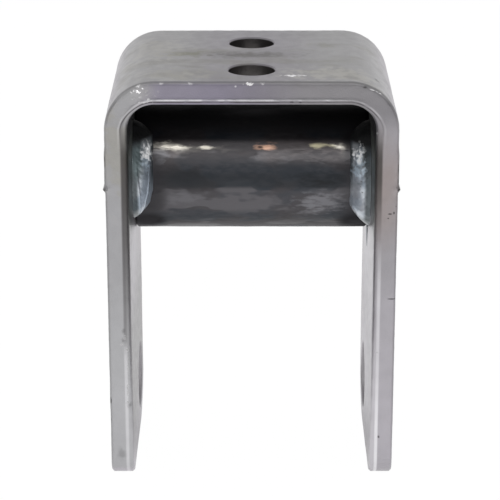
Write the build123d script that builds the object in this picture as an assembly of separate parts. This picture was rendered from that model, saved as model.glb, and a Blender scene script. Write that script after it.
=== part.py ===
from build123d import *
import math
import os

os.makedirs("parts", exist_ok=True)

# U bracket: a flat steel bar bent into a U, standing on the ends of its two legs, with a
# round tube welded across the inside under the web.
#
# Frame: millimetres, +Z up. The origin is the middle of the footprint, at the leg ends.
# The legs are on -X and +X, the welded side of the tube faces -Y, and the bar is
# bar_width wide along Y.

# --- driving dimensions -------------------------------------------------------------------
# the bar and its bends
bar_width = 75.0
bar_thickness = 8.0
outer_width = 100.0
overall_height = 146.5
inner_bend_radius = 9.0
inner_edge_radius = 2.6  # the long edges round over further on the inside of the bends
outer_edge_radius = 1.1  # as rolled
leg_front_corner_radius = 9.0
leg_rear_corner_radius = 22.0  # runs round the pin hole

# bolt holes through the web
web_hole_diameter = 16.0
web_hole_pitch = 38.0
front_hole_margin = 17.5  # from the front edge of the bar to the front hole's centre
web_hole_edge_break = 0.5

# pin holes through the legs
leg_hole_diameter = 25.0
leg_hole_height = 19.0

# cross tube
tube_diameter = 45.0
tube_wall = 4.0
tube_drop = 45.0  # from the top of the web to the tube's axis

# fillet welds at the tube's ends; angles are measured about the tube's axis, up from its front
weld_leg = 6.8  # along the tube and up the leg
weld_crown = 0.8  # how far the weld's face bulges
weld_start_angle = 56.0
weld_start_sweep = 12.0  # degrees over which the rounded start swells to full size
weld_root_depth = 1.0  # what the blank overlaps its neighbours by before it is trimmed
left_taper_angles = (-8.0, -38.0)  # where the run begins to thin, and where it ends
right_taper_angles = (-24.0, -52.0)

# --- the shape of a weld run's ends -------------------------------------------------------
# (share of the way along the start or the taper, size of the section against the full one)
start_profile = ((0.0, 0.45), (0.4, 0.85), (1.0, 1.0))
taper_profile = ((0.0, 1.0), (0.35, 0.8), (0.7, 0.5), (1.0, 0.16))
full_size_steps = 3  # sections set between the start and the taper

# --- what follows from them ---------------------------------------------------------------
inner_width = outer_width - 2 * bar_thickness
bend_centreline_radius = inner_bend_radius + bar_thickness / 2
leg_centreline = outer_width / 2 - bar_thickness / 2
web_centreline = overall_height - bar_thickness / 2
front_hole_y = front_hole_margin - bar_width / 2
rear_hole_y = front_hole_y + web_hole_pitch
tube_radius = tube_diameter / 2
tube_y = bar_width / 2 - tube_radius  # flush with the rear edges of the legs
tube_z = overall_height - tube_drop
leg_hole_y = tube_y  # straight below the tube


def bar_section():
    """The flat bar's cross-section at the foot of the left leg."""
    outline = Rectangle(bar_thickness, bar_width)
    outline = fillet(outline.vertices().group_by(Axis.X)[0], outer_edge_radius)
    outline = fillet(outline.vertices().group_by(Axis.X)[-1], inner_edge_radius)
    return Pos(-leg_centreline, 0, 0) * outline


def bend_path():
    """The bar's centreline: up the left leg, across the web and down the right leg."""
    r = bend_centreline_radius
    x = leg_centreline
    z = web_centreline
    left = Line((-x, 0, 0), (-x, 0, z - r))
    left_bend = TangentArc(left @ 1, (-x + r, 0, z), tangent=left % 1)
    web = Line(left_bend @ 1, (x - r, 0, z))
    right_bend = TangentArc(web @ 1, (x, 0, z - r), tangent=web % 1)
    right = Line(right_bend @ 1, (x, 0, 0))
    return Wire([left, left_bend, web, right_bend, right])


def foot_corner(side, radius):
    """What rounding one lower corner of the legs cuts away; side is -1 at the front, 1 at the rear."""
    reach = radius + bar_thickness
    away = Align.MIN if side > 0 else Align.MAX
    waste = Rectangle(reach, reach, align=(away, Align.MAX)) - Circle(radius)
    arc_centre = Pos(side * (bar_width / 2 - radius), radius)
    return extrude(Plane.YZ * arc_centre * waste, amount=outer_width, both=True)


def web_hole(y):
    """The cutter for one bolt hole in the web, with its upper edge broken."""
    radius = web_hole_diameter / 2
    drill = Cylinder(radius, 4 * bar_thickness)
    edge_break = Pos(0, 0, -web_hole_edge_break) * Cone(
        radius,
        radius + web_hole_edge_break,
        web_hole_edge_break,
        align=(Align.CENTER, Align.CENTER, Align.MIN),
    )
    return Pos(0, y, overall_height) * (drill + edge_break)


def bent_bar():
    """The U: swept bar, rounded leg corners, two holes in the web, one in each leg."""
    bar = sweep(bar_section(), path=bend_path())
    bar -= foot_corner(-1, leg_front_corner_radius)
    bar -= foot_corner(1, leg_rear_corner_radius)
    for y in (front_hole_y, rear_hole_y):
        bar -= web_hole(y)
    pin_hole = Cylinder(leg_hole_diameter / 2, 2 * outer_width)
    return bar - Pos(0, leg_hole_y, leg_hole_height) * Rot(0, 90, 0) * pin_hole


def cross_tube():
    """The tube between the legs, its square-cut ends against their inner faces."""
    ring = Circle(tube_radius) - Circle(tube_radius - tube_wall)
    return extrude(Plane.YZ.offset(-inner_width / 2) * Pos(tube_y, tube_z) * ring, amount=inner_width)


def weld_section(angle, size):
    """One slice of a left-hand weld, in a plane through the tube's axis.

    The slice's x runs along the tube from the leg, its y outwards from the tube's surface.
    """
    leg = weld_leg * size
    crown = weld_crown * size
    root = -weld_root_depth
    middle = (leg / 2 + crown / math.sqrt(2), leg / 2 + crown / math.sqrt(2))
    edge = (
        Polyline((root, leg), (root, root), (leg, root), (leg, 0))
        + ThreePointArc((leg, 0), middle, (0, leg))
        + Line((0, leg), (root, leg))
    )
    outwards = Vector(0, -math.cos(math.radians(angle)), math.sin(math.radians(angle)))
    centre = Vector(-inner_width / 2, tube_y, tube_z) + outwards * tube_radius
    along = Vector(1, 0, 0)
    return Plane(origin=centre, x_dir=along, z_dir=along.cross(outwards)) * make_face(edge)


def left_run(taper_angles):
    """A weld run on the left leg, from its rounded start to its thin end."""
    thin_from, end = taper_angles
    full_from = weld_start_angle - weld_start_sweep
    stations = [(weld_start_angle - share * weld_start_sweep, size) for share, size in start_profile]
    for i in range(1, full_size_steps + 1):
        stations.append((full_from + (thin_from - full_from) * i / (full_size_steps + 1), 1.0))
    stations += [(thin_from + share * (end - thin_from), size) for share, size in taper_profile]
    return loft([weld_section(angle, size) for angle, size in stations])


def weld_bead(run, bar, tube_core):
    """A run trimmed to sit face to face on the leg and the tube."""
    return (run - tube_core - bar).solids().sort_by(SortBy.VOLUME)[-1]


bar = bent_bar()
tube_core = Pos(0, tube_y, tube_z) * Rot(0, 90, 0) * Cylinder(tube_radius, inner_width)
left_weld_bead = weld_bead(left_run(left_taper_angles), bar, tube_core)
right_weld_bead = weld_bead(mirror(left_run(right_taper_angles), about=Plane.YZ), bar, tube_core)

export_step(bar, "parts/bent_bar.step")
export_step(cross_tube(), "parts/cross_tube.step")
export_step(left_weld_bead, "parts/left_weld_bead.step")
export_step(right_weld_bead, "parts/right_weld_bead.step")
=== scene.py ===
"""Dresses a U bracket: a bent flat bar, the tube welded across it and the two weld beads."""

import logging
import math
from dataclasses import dataclass
from enum import Enum
from functools import partial, reduce
from typing import Any, Iterable, Sequence

import bmesh
import bpy
from mathutils import Euler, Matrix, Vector, noise

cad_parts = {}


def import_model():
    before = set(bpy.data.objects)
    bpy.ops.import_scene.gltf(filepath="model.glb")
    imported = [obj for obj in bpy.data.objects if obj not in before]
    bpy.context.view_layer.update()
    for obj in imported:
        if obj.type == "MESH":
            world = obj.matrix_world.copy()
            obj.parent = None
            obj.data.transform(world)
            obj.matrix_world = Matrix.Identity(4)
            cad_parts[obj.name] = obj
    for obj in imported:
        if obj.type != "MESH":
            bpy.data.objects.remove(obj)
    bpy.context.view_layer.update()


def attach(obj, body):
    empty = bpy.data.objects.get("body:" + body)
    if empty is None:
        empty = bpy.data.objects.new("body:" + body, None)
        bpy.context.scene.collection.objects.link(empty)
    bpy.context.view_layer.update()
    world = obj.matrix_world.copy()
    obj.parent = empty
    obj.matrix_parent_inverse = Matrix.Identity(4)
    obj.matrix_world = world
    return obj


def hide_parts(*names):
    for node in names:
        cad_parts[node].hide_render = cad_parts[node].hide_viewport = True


log = logging.getLogger("u_bracket")

MM = 0.001  # metres
ROOT_BODY = "root"
SHARP_ANGLE = 33.0  # degrees; edges that turn by more stay crisp

Point = tuple[float, float, float]
Rgba = tuple[float, float, float, float]
Socket = bpy.types.NodeSocket


# --- helpers ------------------------------------------------------------------------------
def linear(srgb_hex: str) -> Rgba:
    """Turns an sRGB hex colour into linear RGBA.

    Args:
        srgb_hex: six hex digits, such as "8a8a8c".

    Returns:
        Linear red, green and blue with an alpha of 1.
    """
    channels = []
    for start in (0, 2, 4):
        value = int(srgb_hex[start : start + 2], 16) / 255
        channels.append(value / 12.92 if value <= 0.04045 else ((value + 0.055) / 1.055) ** 2.4)
    return (channels[0], channels[1], channels[2], 1.0)


def smooth(low: float, high: float, value: float) -> float:
    """Eases from 0 to 1 over a range.

    Args:
        low: where it is 0.
        high: where it is 1; this may be the lesser of the two.
        value: the place in the range.

    Returns:
        The share, from 0 to 1.
    """
    t = min(max((value - low) / (high - low), 0.0), 1.0)
    return t * t * (3 - 2 * t)


def add_node(
    tree: bpy.types.NodeTree,
    kind: str,
    settings: dict[str, Any] | None = None,
    inputs: dict[str | int, Any] | None = None,
) -> bpy.types.Node:
    """Adds a node, sets its properties, and sets or links its inputs.

    Args:
        tree: the node tree to add to.
        kind: the node's type name.
        settings: node properties by name.
        inputs: values, or output sockets to link from, by input name or index.

    Returns:
        The new node.
    """
    node = tree.nodes.new(kind)
    for name, value in (settings or {}).items():
        setattr(node, name, value)
    for key, value in (inputs or {}).items():
        if isinstance(value, bpy.types.NodeSocket):
            tree.links.new(value, node.inputs[key])
        else:
            node.inputs[key].default_value = value
    return node


def ease(
    tree: bpy.types.NodeTree,
    value: Socket,
    span: tuple[float, float],
    ends: tuple[float, float] = (0.0, 1.0),
) -> Socket:
    """Eases from one end to the other as a value crosses a span.

    Args:
        tree: the node tree to work in.
        value: the value.
        span: where the easing starts and ends; it may run downwards.
        ends: what comes out at either end.

    Returns:
        The eased value.
    """
    inputs = {0: value, 1: span[0], 2: span[1], 3: ends[0], 4: ends[1]}
    return add_node(tree, "ShaderNodeMapRange", {"interpolation_type": "SMOOTHSTEP"}, inputs).outputs[0]


def mesh_object(
    name: str,
    vertices: Sequence[Sequence[float]],
    faces: Sequence[Sequence[int]],
    sharp_angle: float = SHARP_ANGLE,
) -> bpy.types.Object:
    """Makes a smooth-shaded mesh object from points in millimetres.

    Args:
        name: the object's name.
        vertices: points in millimetres.
        faces: loops of point numbers.
        sharp_angle: edges that turn by more degrees than this stay crisp.

    Returns:
        The object, linked to the scene.
    """
    mesh = bpy.data.meshes.new(name)
    mesh.from_pydata([(x * MM, y * MM, z * MM) for x, y, z in vertices], [], faces)
    work = bmesh.new()
    work.from_mesh(mesh)
    bmesh.ops.recalc_face_normals(work, faces=work.faces)
    work.to_mesh(mesh)
    work.free()
    obj = bpy.data.objects.new(name, mesh)
    bpy.context.scene.collection.objects.link(obj)
    crisp(mesh, sharp_angle)
    return obj


def crisp(mesh: bpy.types.Mesh, sharp_angle: float) -> None:
    """Shades a mesh smooth, apart from its sharp edges.

    Args:
        mesh: the mesh.
        sharp_angle: edges that turn by more degrees than this stay crisp.
    """
    work = bmesh.new()
    work.from_mesh(mesh)
    limit = math.radians(sharp_angle)
    for face in work.faces:
        face.smooth = True
    for edge in work.edges:
        edge.smooth = len(edge.link_faces) == 2 and edge.calc_face_angle(math.pi) < limit
    work.to_mesh(mesh)
    work.free()


def grid_faces(rows: int, columns: int, offset: int = 0, wrap: bool = True) -> list[tuple[int, ...]]:
    """Lists the quads that join rows of points, laid out row after row.

    Args:
        rows: the number of rows.
        columns: the number of points in a row.
        offset: the number of the first point.
        wrap: whether each row is a closed loop.

    Returns:
        The quads.
    """
    faces = []
    for r in range(rows - 1):
        for c in range(columns if wrap else columns - 1):
            d = (c + 1) % columns
            a = offset + r * columns
            b = a + columns
            faces.append((a + c, a + d, b + d, b + c))
    return faces


def subtract(target: bpy.types.Object, cutters: Iterable[bpy.types.Object]) -> None:
    """Cuts the cutters out of a piece, for good, and deletes them.

    Args:
        target: the piece.
        cutters: what is cut out of it.
    """
    for cutter in cutters:
        modifier = target.modifiers.new("cut", "BOOLEAN")
        modifier.operation = "DIFFERENCE"
        modifier.solver = "EXACT"
        modifier.object = cutter
        graph = bpy.context.evaluated_depsgraph_get()
        cut = bpy.data.meshes.new_from_object(target.evaluated_get(graph))
        target.modifiers.clear()
        old = target.data
        target.data = cut
        bpy.data.meshes.remove(old)
        bpy.data.objects.remove(cutter)


# --- sizes --------------------------------------------------------------------------------
@dataclass(frozen=True)
class BracketSizes:
    """The bracket's own sizes, in millimetres, shared by its pieces."""

    width: float = 100.0
    height: float = 146.5
    bar_width: float = 75.0
    thickness: float = 8.0
    inner_bend: float = 9.0
    tube_radius: float = 22.5
    tube_wall: float = 4.0
    tube_y: float = 15.0
    tube_z: float = 101.5
    web_hole_radius: float = 8.0
    web_hole_y: tuple[float, float] = (-20.0, 18.0)
    pin_hole_radius: float = 12.5
    pin_hole_z: float = 19.0
    front_corner: float = 9.0
    rear_corner: float = 22.0
    leg_edge: float = 2.6  # rounding of the bar's inner long edges on the legs,
    web_edge: float = 1.2  # and on the web
    outer_edge: float = 1.1  # rounding of its outer long edges

    @property
    def inner_face(self) -> float:
        """How far each leg's inner face is from the middle."""
        return self.width / 2 - self.thickness

    @property
    def outer_bend(self) -> float:
        """The bends' radius on the outside of the bar."""
        return self.inner_bend + self.thickness


class Side(Enum):
    """Which leg a piece belongs to; the value is the sign of its x."""

    LEFT = -1
    RIGHT = 1


# --- finishes -----------------------------------------------------------------------------
class Paint:
    """A steel finish being laid on: masks in the piece's own space, and one hue over another.

    Sizes and places are given in millimetres; the coordinates themselves are in metres.

    Attributes:
        material: the material.
        add: adds a node to its tree.
        ease: eases a value in its tree.
        position: object coordinates.
        x: the first part of position.
        y: the second part.
        z: the third part.
        colour: what has been laid on so far.
    """

    SEED_WAY = (1.0, 0.37, -0.61)  # which way a seed moves a pattern
    RAGGED_REACH = 0.7  # how much of its radius a ragged mask can take off a spot
    FACET_SIZE = 0.7  # torn metal is full of small facets
    FACET_LEAN = (0.0, -0.88, 0.47)  # that lean forwards and up, as a nick's lip does,
    FACET_SPREAD = 0.4  # each a little differently

    def __init__(self, name: str) -> None:
        """Starts an empty material.

        Args:
            name: the material's name.
        """
        self.material = bpy.data.materials.new(name)
        self.material.use_nodes = True
        tree = self.material.node_tree
        tree.nodes.clear()
        self.add = partial(add_node, tree)
        self.ease = partial(ease, tree)
        self.position = self.add("ShaderNodeTexCoord").outputs["Object"]
        split = self.add("ShaderNodeSeparateXYZ", None, {0: self.position})
        self.x, self.y, self.z = split.outputs[0], split.outputs[1], split.outputs[2]
        self.colour: Socket | None = None

    def ground(self, first: str, second: str, mask: Socket) -> None:
        """Lays the ground: two hues, mixed by a mask."""
        self.colour = self.blend(first, second, mask)

    def times(self, *masks: Socket | float) -> Socket:
        """Multiplies masks."""
        multiply = partial(self.add, "ShaderNodeMath", {"operation": "MULTIPLY"})
        return reduce(lambda first, second: multiply({0: first, 1: second}).outputs[0], masks)

    def most(self, *masks: Socket | float) -> Socket:
        """The greatest of several masks."""
        greater = partial(self.add, "ShaderNodeMath", {"operation": "MAXIMUM"})
        return reduce(lambda first, second: greater({0: first, 1: second}).outputs[0], masks)

    def plus(self, base: Socket, mask: Socket, share: float) -> Socket:
        """Adds a share of a mask to a value."""
        inputs = {0: mask, 1: share, 2: base}
        return self.add("ShaderNodeMath", {"operation": "MULTIPLY_ADD"}, inputs).outputs[0]

    def less(self, value: Socket | float, taken: Socket | float) -> Socket:
        """Takes one value from another."""
        return self.add("ShaderNodeMath", {"operation": "SUBTRACT"}, {0: value, 1: taken}).outputs[0]

    def unsigned(self, value: Socket) -> Socket:
        """How far a value is from 0, on either side."""
        return self.add("ShaderNodeMath", {"operation": "ABSOLUTE"}, {0: value}).outputs[0]

    def length(self, offset: Socket) -> Socket:
        """How long an offset is."""
        return self.add("ShaderNodeVectorMath", {"operation": "LENGTH"}, {0: offset}).outputs["Value"]

    def levels(self, mask: Socket, low: float, high: float) -> Socket:
        """Turns a mask into values from low to high."""
        inputs = {0: mask, 1: 0.0, 2: 1.0, 3: low, 4: high}
        return self.add("ShaderNodeMapRange", None, inputs).outputs[0]

    def band(self, value: Socket, start: float, end: float) -> Socket:
        """Eases from 0 at start to 1 at end of a coordinate."""
        return self.ease(value, (start * MM, end * MM))

    def stripe(self, value: Socket, rising: tuple[float, float], falling: tuple[float, float]) -> Socket:
        """A mask that eases up over one range of a coordinate, and down over another."""
        return self.times(self.band(value, *rising), self.band(value, *falling))

    def beyond(self, value: Socket, limit: float) -> Socket:
        """How far a coordinate is past a limit, or 0."""
        return self.most(self.less(value, limit * MM), 0.0)

    def grain(
        self,
        size: float,
        detail: float = 3.0,
        stretch: Point = (1.0, 1.0, 1.0),
        contrast: tuple[float, float] = (0.35, 0.65),
        seed: float = 0.0,
    ) -> Socket:
        """A noise mask from 0 to 1.

        Args:
            size: the size of one patch.
            detail: how many finer layers the noise has.
            stretch: how much longer a patch is along x, y and z.
            contrast: the noise values that become 0 and 1.
            seed: moves the pattern.

        Returns:
            The mask.
        """
        scale = tuple(1 / share for share in stretch)
        moved = tuple(seed * share for share in self.SEED_WAY)
        placing = {"Vector": self.position, "Scale": scale, "Location": moved}
        placed = self.add("ShaderNodeMapping", {"vector_type": "POINT"}, placing).outputs[0]
        look = {"Vector": placed, "Scale": 1 / (size * MM), "Detail": detail}
        return self.ease(self.add("ShaderNodeTexNoise", None, look).outputs[0], contrast)

    def spot(
        self,
        centre: Point,
        radii: Point,
        softness: float = 0.6,
        ragged: Socket | None = None,
        turn: float = 0.0,
    ) -> Socket:
        """A mask that is 1 inside an ellipsoid and fades to 0 outside it.

        Args:
            centre: the middle of the spot.
            radii: its half sizes.
            softness: the share of the radius over which it fades.
            ragged: a mask that breaks up its edge.
            turn: degrees that its length rises above the x axis.

        Returns:
            The mask.
        """
        ends = {0: self.position, 1: tuple(place * MM for place in centre)}
        away = self.add("ShaderNodeVectorMath", {"operation": "SUBTRACT"}, ends).outputs[0]
        if turn:
            turning = {"Vector": away, "Angle": math.radians(turn)}
            away = self.add("ShaderNodeVectorRotate", {"rotation_type": "Y_AXIS"}, turning).outputs[0]
        sizes = {0: away, 1: tuple(radius * MM for radius in radii)}
        reach = self.length(self.add("ShaderNodeVectorMath", {"operation": "DIVIDE"}, sizes).outputs[0])
        if ragged is not None:
            reach = self.plus(reach, ragged, self.RAGGED_REACH)
        low = 1.0 - softness / 2
        return self.ease(reach, (low, low + softness), (1.0, 0.0))

    def spots(
        self, places: Iterable[tuple[Point, Point]], softness: float, ragged: Socket | None = None
    ) -> Socket:
        """One mask for several spots, each given by its centre and its half sizes."""
        return self.most(*(self.spot(centre, radii, softness, ragged) for centre, radii in places))

    def blend(self, under: Socket | str, over: Socket | str, mask: Socket) -> Socket:
        """One colour over another where the mask is 1.

        Args:
            under: the colour where the mask is 0, as a socket or in sRGB hex.
            over: the colour where it is 1.
            mask: the mask.

        Returns:
            The colour.
        """
        pair = [linear(hue) if isinstance(hue, str) else hue for hue in (under, over)]
        inputs = {0: mask, 6: pair[0], 7: pair[1]}
        return self.add("ShaderNodeMix", {"data_type": "RGBA"}, inputs).outputs[2]

    def lay(self, hue: Socket | str, mask: Socket, strength: float = 1.0) -> None:
        """Lays a hue over what is there already."""
        self.colour = self.blend(self.colour, hue, self.times(mask, strength))

    def finish(
        self,
        roughness: Socket,
        height: Socket,
        relief: float,
        metallic: Socket | float,
        torn: Socket,
    ) -> bpy.types.Material:
        """Closes the material: metal shader, relief and output.

        Args:
            roughness: the roughness.
            height: the relief mask.
            relief: how deep that relief is.
            metallic: 1 for clean metal, less where scale or oxide covers it.
            torn: a mask of torn metal, full of leaning facets.

        Returns:
            The material.
        """
        dents = {"Height": height, "Distance": relief * MM, "Strength": 1.0}
        bump = self.add("ShaderNodeBump", None, dents).outputs[0]
        facets = {"Vector": self.position, "Scale": 1 / (self.FACET_SIZE * MM)}
        scatter = self.add("ShaderNodeTexNoise", None, facets).outputs["Color"]
        least = tuple(part - self.FACET_SPREAD / 2 for part in self.FACET_LEAN)
        leaning = {0: scatter, 1: (self.FACET_SPREAD,) * 3, 2: least}
        lean = self.add("ShaderNodeVectorMath", {"operation": "MULTIPLY_ADD"}, leaning).outputs[0]
        both = {0: torn, 4: bump, 5: lean}
        mixed = self.add("ShaderNodeMix", {"data_type": "VECTOR"}, both).outputs[1]
        normal = self.add("ShaderNodeVectorMath", {"operation": "NORMALIZE"}, {0: mixed}).outputs[0]
        look = {"Base Color": self.colour, "Metallic": metallic, "Roughness": roughness, "Normal": normal}
        shader = self.add("ShaderNodeBsdfPrincipled", None, look)
        self.add("ShaderNodeOutputMaterial", None, {"Surface": shader.outputs[0]})
        return self.material


@dataclass(frozen=True)
class BarMasks:
    """What the flat bar's marks share: two distances and five masks."""

    across: Socket  # distance from the middle, along x
    depth: Socket  # distance below the bar's outer face, all round the U
    front: Socket  # the front edge
    left: Socket  # the left leg
    cloud: Socket  # broad patches
    mottle: Socket  # patches of a few millimetres
    chips: Socket  # crumbs of a millimetre


@dataclass(frozen=True)
class HotRolledSteel:
    """Bare hot-rolled flat bar, tumbled to a satin grey: a soft, even sheen with faint stains."""

    sizes: BracketSizes
    name: str = "hot-rolled steel"
    grey: str = "a6a3a8"
    light_grey: str = "b5b1b8"
    olive: str = "98958c"
    drab: str = "85836f"
    rubbed: str = "c0bfc0"
    pale: str = "cbc8c2"
    neutral: str = "abacad"
    shaded: str = "878587"
    heat_green_and_shade: str = "646b65"
    violet: str = "837e8e"
    ash: str = "807e81"
    wear_and_highlight: str = "efeef1"
    edge_shade: str = "575456"
    blush: str = "948986"
    smudge: str = "6e6a69"
    bare: str = "f0eff0"
    pit_and_shade_dark: str = "3e3b3c"
    hole_wall: str = "5c5958"
    rounding_shade: str = "423f3c"
    under_web_shadow: str = "161417"
    pin_wall: str = "c4c2c5"
    metallic: float = 0.85  # a thin oxide dulls the bare metal
    satin: tuple[float, float] = (0.28, 0.36)  # roughness of tumbled steel
    matt: float = 0.3  # how much rougher the matt places are
    inside_matt: float = 1.7  # the inside, against other matt places
    relief: float = 0.02
    torn: float = 0.93  # how far the facets of fresh scratches lean

    def masks(self, paint: Paint) -> BarMasks:
        """Works out what the marks share.

        Args:
            paint: the finish.

        Returns:
            The masks and distances.
        """
        s = self.sizes
        bend, edge = s.outer_bend, -s.bar_width / 2
        across = paint.unsigned(paint.x)
        past_x, past_z = paint.beyond(across, s.width / 2 - bend), paint.beyond(paint.z, s.height - bend)
        past_bend = paint.add("ShaderNodeCombineXYZ", None, {0: past_x, 2: past_z}).outputs[0]
        return BarMasks(
            across=across,
            depth=paint.less(bend * MM, paint.length(past_bend)),
            front=paint.band(paint.y, edge + 2.4, edge + 0.9),
            left=paint.band(paint.x, -36.0, -42.0),
            cloud=paint.grain(22.0, 5.0, contrast=(0.2, 0.8), seed=0.3),
            mottle=paint.grain(3.5, seed=0.7),
            chips=paint.grain(1.1, 2.0, seed=6.1),
        )

    def stain_top(self, paint: Paint, masks: BarMasks) -> None:
        """Rubs the top of the web lighter towards the bends, and stains it by oil and handling.

        Args:
            paint: the finish.
            masks: what the marks share.
        """
        height = self.sizes.height
        top = paint.band(paint.z, height - 9.0, height - 3.0)
        paint.lay(self.rubbed, paint.times(top, paint.band(masks.across, 8.0, 30.0)), 0.85)
        stains = paint.grain(12.0, stretch=(2.0, 1.0, 1.0), contrast=(0.5, 0.64), seed=1.9)
        paint.lay(self.olive, paint.times(stains, top), 0.4)
        for centre, radii, hue, strength in (
            ((-1.0, 0.5, height), (19.0, 5.0, 4.0), self.smudge, 0.95),
            ((-24.0, 2.0, height), (9.0, 5.0, 4.0), self.drab, 0.85),
            ((-21.0, -25.0, height), (13.0, 7.0, 4.0), self.drab, 0.35),
            ((26.0, 14.0, height), (6.0, 4.0, 4.0), self.drab, 0.4),
            ((32.0, -8.0, height), (9.0, 7.0, 4.0), self.drab, 0.2),
            ((27.0, -26.0, height), (17.0, 9.0, 4.0), self.pale, 0.75),
            ((-28.0, -27.0, height), (15.0, 8.0, 4.0), self.pale, 0.45),
            ((-34.0, 8.0, height), (12.0, 18.0, 6.0), self.pale, 0.5),
        ):
            paint.lay(hue, paint.spot(centre, radii, 1.2, masks.mottle), strength)

    def shade_front(self, paint: Paint, masks: BarMasks) -> None:
        """Darkens the legs' front edges upwards, and gives each stretch its cast.

        Args:
            paint: the finish.
            masks: what the marks share.
        """
        height = self.sizes.height
        paint.lay(self.neutral, paint.times(masks.left, masks.front), 0.75)
        upper = paint.times(masks.front, paint.band(paint.z, 44.0, 88.0))
        paint.lay(self.shaded, paint.times(upper, paint.levels(masks.left, 0.42, 0.3)))
        # the web's is a cool violet, the right leg's warm, and the left one's yellowish at the bend
        on_web = paint.times(masks.front, paint.band(paint.z, height - 22.0, height - 9.0))
        cast = paint.blend(self.ash, self.violet, paint.band(paint.x, 20.0, -12.0))
        paint.lay(cast, paint.times(on_web, paint.band(paint.x, -39.0, -30.0)), 0.8)
        paint.lay(self.blush, paint.spot((45.0, -37.5, 110.0), (9.0, 4.0, 18.0), 1.4, masks.cloud), 0.8)
        paint.lay(self.olive, paint.spot((-46.0, -37.5, 122.0), (9.0, 4.0, 18.0), 1.0, masks.mottle), 0.55)

    def scale_and_shade_inside(self, paint: Paint, masks: BarMasks) -> Socket:
        """Paints shade on the rounded inner edges, deepening up the legs, and heat tint with painted shade on
        the inner faces round the tube.

        Args:
            paint: the finish.
            masks: what the marks share.

        Returns:
            The mask of the painted shadow inside, under the web.
        """
        s, z, left = self.sizes, paint.z, masks.left
        right = paint.band(paint.x, -1.0, 1.0)
        rising = {0: right, 2: paint.band(z, 30.0, 115.0), 3: paint.band(z, 84.0, 114.0)}
        up_legs = paint.add("ShaderNodeMix", {"data_type": "FLOAT"}, rising).outputs[0]
        below_web = paint.band(z, s.height - 13.0, s.height - 27.0)
        edge_start = s.bar_width / 2 - s.leg_edge
        beside = paint.band(paint.unsigned(paint.y), edge_start - 0.4, edge_start + 0.5)
        rounding = paint.times(paint.band(masks.depth, 5.1, 5.9), beside)
        # painted shade: the rounded inner edges darken up the legs, below the web
        paint.lay(self.rounding_shade, paint.times(rounding, up_legs, below_web), 0.86)
        # below it, painted highlights lighten them, most where they begin and towards the right foot,
        # while painted shade darkens them further up the left leg
        turned_in = paint.times(paint.band(masks.depth, 6.3, 7.0), beside)
        paint.lay(self.wear_and_highlight, paint.times(turned_in, right, paint.band(z, 62.0, 44.0)), 0.22)
        first_part = paint.stripe(masks.depth, (5.1, 5.6), (6.8, 6.1))
        for leg, start, full, hue, strength in (
            (right, 92.0, 70.0, self.wear_and_highlight, 0.4),
            (right, 48.0, 20.0, self.wear_and_highlight, 0.5),
            (left, 54.0, 46.0, self.wear_and_highlight, 0.35),
            (left, 50.0, 56.0, self.edge_shade, 0.36),
        ):
            paint.lay(hue, paint.times(first_part, leg, paint.band(z, start, full)), strength)
        # painted shade darkens the left leg's inner face towards its foot,
        # and painted light brightens the right one's upwards
        inner = paint.band(masks.depth, 7.6, 7.95)
        low_left = paint.times(left, paint.stripe(z, (4.0, 26.0), (80.0, 46.0)))
        paint.lay(self.shaded, paint.times(inner, low_left), 0.95)
        high_right = paint.times(paint.band(paint.x, 36.0, 41.0), paint.band(z, 44.0, 84.0))
        paint.lay(self.wear_and_highlight, paint.times(inner, high_right), 0.3)
        # heat tint and painted shade on the inner faces from the tube up to the web
        paint.lay(self.heat_green_and_shade, paint.times(inner, paint.band(z, 84.0, 102.0)), 0.9)
        # painted shadow on the inner faces and the web's underside, under the web
        inside = paint.times(inner, paint.band(z, 114.0, 127.0))
        paint.lay(self.under_web_shadow, inside)
        return inside

    def ring(self, paint: Paint, masks: BarMasks, before: float, half: float) -> Socket:
        """A narrow mask that follows the inner long edge round the U.

        Args:
            paint: the finish.
            masks: what the marks share.
            before: how far it lies before the edge's rounding.
            half: half its width.

        Returns:
            The mask.
        """
        s = self.sizes
        span = ((s.height - s.outer_bend) * MM, (s.height - s.thickness) * MM)
        flat = s.thickness - before
        places = ((flat - s.leg_edge) * MM, (flat - s.web_edge) * MM)
        off = paint.less(masks.depth, paint.ease(paint.z, span, places))
        return paint.band(paint.unsigned(off), half, 0.0)

    def edge_wear_and_painted_light(self, paint: Paint, masks: BarMasks) -> Socket:
        """Wears the front edge's outer corner; paints a highlight on the lip where it turns in, and shade in
        the crease beside it.

        Args:
            paint: the finish.
            masks: what the marks share.

        Returns:
            The mask of the matt outer corner.
        """
        height, front = self.sizes.height, masks.front
        high = paint.band(paint.z, height - 26.0, height - 12.0)
        near_top = paint.band(paint.z, height - 9.0, height - 3.0)
        corner = paint.times(front, paint.band(masks.depth, 0.75, 0.35))
        paint.lay(self.rubbed, paint.times(corner, near_top), 0.5)
        on_bend = paint.times(paint.band(paint.z, height - 1.5, height - 6.0), high)
        paint.lay(self.wear_and_highlight, paint.times(corner, on_bend), 0.2)
        # painted highlight on the lip, and painted shade in the crease
        patchy = paint.levels(paint.grain(6.0, 4.0, contrast=(0.42, 0.56), seed=4.1), 0.4, 1.0)
        on_web = paint.levels(paint.band(masks.across, 38.0, 30.0), 0.3, 1.0)
        lip = paint.times(self.ring(paint, masks, 0.62, 0.55), on_web)
        crease = self.ring(paint, masks, -0.05, 0.42)
        for mask, hue, strength in ((lip, self.wear_and_highlight, 0.85), (crease, self.edge_shade, 0.95)):
            paint.lay(hue, paint.times(front, high, mask, patchy), strength)
        return paint.times(front, near_top, paint.band(masks.depth, 1.3, 0.9))

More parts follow.
